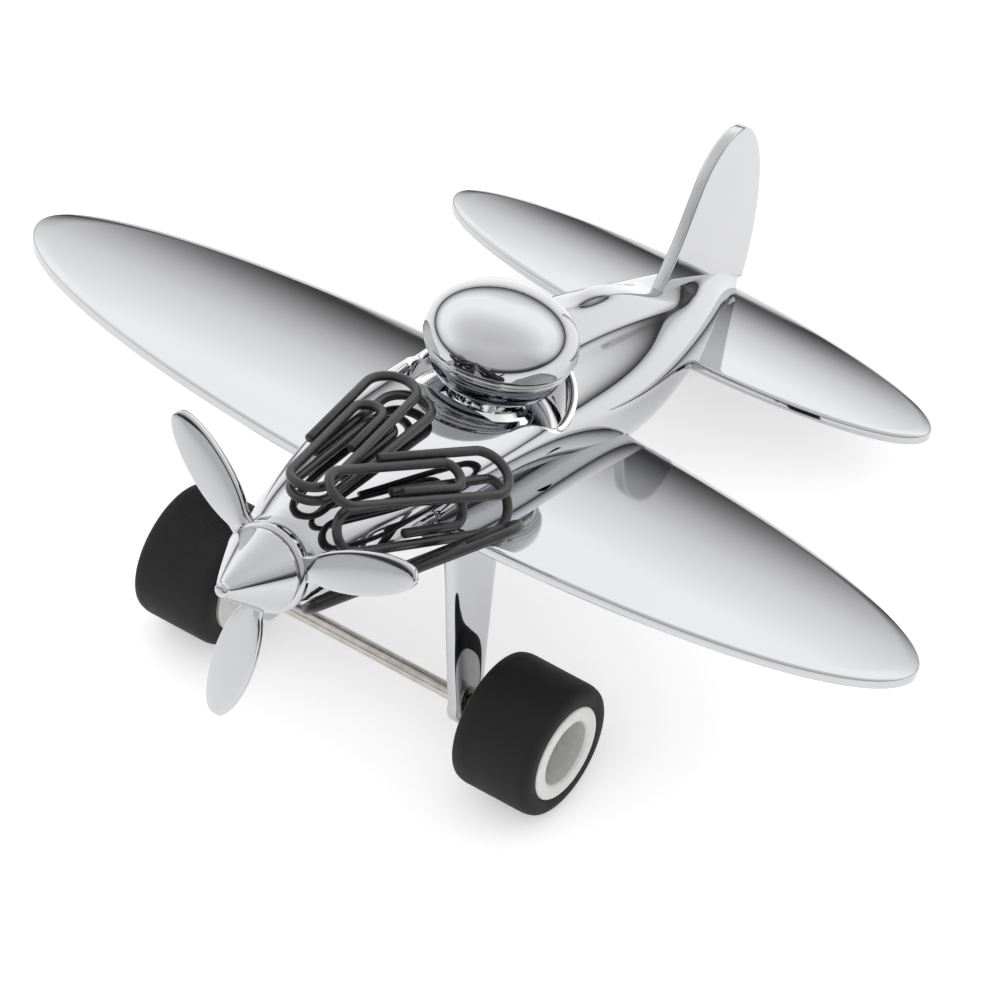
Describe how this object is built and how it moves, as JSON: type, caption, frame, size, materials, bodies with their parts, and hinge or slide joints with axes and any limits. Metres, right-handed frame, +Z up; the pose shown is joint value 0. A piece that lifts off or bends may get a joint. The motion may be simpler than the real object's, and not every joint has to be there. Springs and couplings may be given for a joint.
{
  "type": "propeller plane model",
  "caption": "Polished metal desk model of a low-wing propeller plane with a spinning propeller, rolling wheels, a domed pilot's head and coated paper clips held at its nose.",
  "frame": {"origin": "on the table, at the middle of the whole object's plan", "axes": "+Z up, -Y towards the spinner, +X towards the plane's left wing tip"},
  "size_m": [0.15, 0.128, 0.0622],
  "materials": {
    "fuselage": "polished",
    "belly_cover": "polished",
    "main_wing": "polished",
    "tailplane": "polished",
    "tail_fin": "polished",
    "strut_left": "polished",
    "strut_right": "polished",
    "blade_1": "polished",
    "blade_2": "polished",
    "blade_3": "polished",
    "propeller_hub": "polished",
    "spinner": "polished",
    "pilot_helmet": "polished",
    "pilot_collar": "polished",
    "tail_skid": "polished",
    "pilot_face": "polished, dark",
    "axle": "satin nickel",
    "spacer_left": "satin nickel",
    "spacer_right": "satin nickel",
    "axle_nut_left": "satin nickel",
    "axle_nut_right": "satin nickel",
    "belly_screw_1": "satin nickel",
    "belly_screw_2": "satin nickel",
    "propeller_shaft": "satin nickel",
    "shaft_collar": "satin nickel",
    "wheel_hub_left": "turned satin",
    "wheel_hub_right": "turned satin",
    "tyre_left": "matt",
    "tyre_right": "matt",
    "tail_pad": "matt",
    "shaft_bush": "turned",
    "nose_magnet": "sintered ferrite",
    "paper_clip_1": "vinyl coating over steel wire",
    "paper_clip_2": "vinyl coating over steel wire",
    "paper_clip_3": "vinyl coating over steel wire",
    "paper_clip_4": "vinyl coating over steel wire",
    "paper_clip_5": "vinyl coating over steel wire"
  },
  "bodies": {
    "airframe": {"fuselage": "fuselage", "belly_cover": "belly_cover", "main_wing": "main_wing", "tailplane": "tailplane", "tail_fin": "tail_fin", "axle": "axle", "strut_left": "strut_left", "strut_right": "strut_right", "spacer_left": "spacer_left", "spacer_right": "spacer_right", "axle_nut_left": "axle_nut_left", "axle_nut_right": "axle_nut_right", "shaft_bush": "shaft_bush", "nose_magnet": "nose_magnet", "pilot_helmet": "pilot_helmet", "pilot_face": "pilot_face", "pilot_collar": "pilot_collar", "belly_screw_1": "belly_screw_1", "belly_screw_2": "belly_screw_2", "tail_skid": "tail_skid", "tail_pad": "tail_pad"},
    "propeller": {"blade_1": "blade_1", "blade_2": "blade_2", "blade_3": "blade_3", "propeller_hub": "propeller_hub", "spinner": "spinner", "propeller_shaft": "propeller_shaft", "shaft_collar": "shaft_collar"},
    "wheel_left": {"wheel_hub_left": "wheel_hub_left", "tyre_left": "tyre_left"},
    "wheel_right": {"wheel_hub_right": "wheel_hub_right", "tyre_right": "tyre_right"},
    "clip_1": {"paper_clip_1": "paper_clip_1"},
    "clip_2": {"paper_clip_2": "paper_clip_2"},
    "clip_3": {"paper_clip_3": "paper_clip_3"},
    "clip_4": {"paper_clip_4": "paper_clip_4"},
    "clip_5": {"paper_clip_5": "paper_clip_5"}
  },
  "joints": [
    {"name": "propeller_spin", "type": "hinge", "parent": "airframe", "child": "propeller", "pos_m": [0, -0.05313, 0.04773], "axis": [0, -0.91, 0.4147], "continuous": true},
    {"name": "wheel_left_spin", "type": "hinge", "parent": "airframe", "child": "wheel_left", "pos_m": [0, -0.03099, 0.0101], "axis": [1, 0, 0], "continuous": true},
    {"name": "wheel_right_spin", "type": "hinge", "parent": "airframe", "child": "wheel_right", "pos_m": [0, -0.03099, 0.0101], "axis": [1, 0, 0], "continuous": true},
    {"name": "clip_1_lift", "type": "slide", "parent": "clip_2", "child": "clip_1", "axis": [-0.9752, 0.1912, 0.1113], "range_m": [0, 0.03]},
    {"name": "clip_2_lift", "type": "slide", "parent": "airframe", "child": "clip_2", "axis": [-0.8529, 0.3232, 0.4101], "range_m": [0, 0.03]},
    {"name": "clip_3_lift", "type": "slide", "parent": "clip_4", "child": "clip_3", "axis": [0.4924, 0.3982, 0.7739], "range_m": [0, 0.03]},
    {"name": "clip_4_lift", "type": "slide", "parent": "airframe", "child": "clip_4", "axis": [0.2549, 0.3958, 0.8822], "range_m": [0, 0.03]},
    {"name": "clip_5_lift", "type": "slide", "parent": "airframe", "child": "clip_5", "axis": [0.9903, 0.051, 0.1295], "range_m": [0, 0.03]}
  ]
}
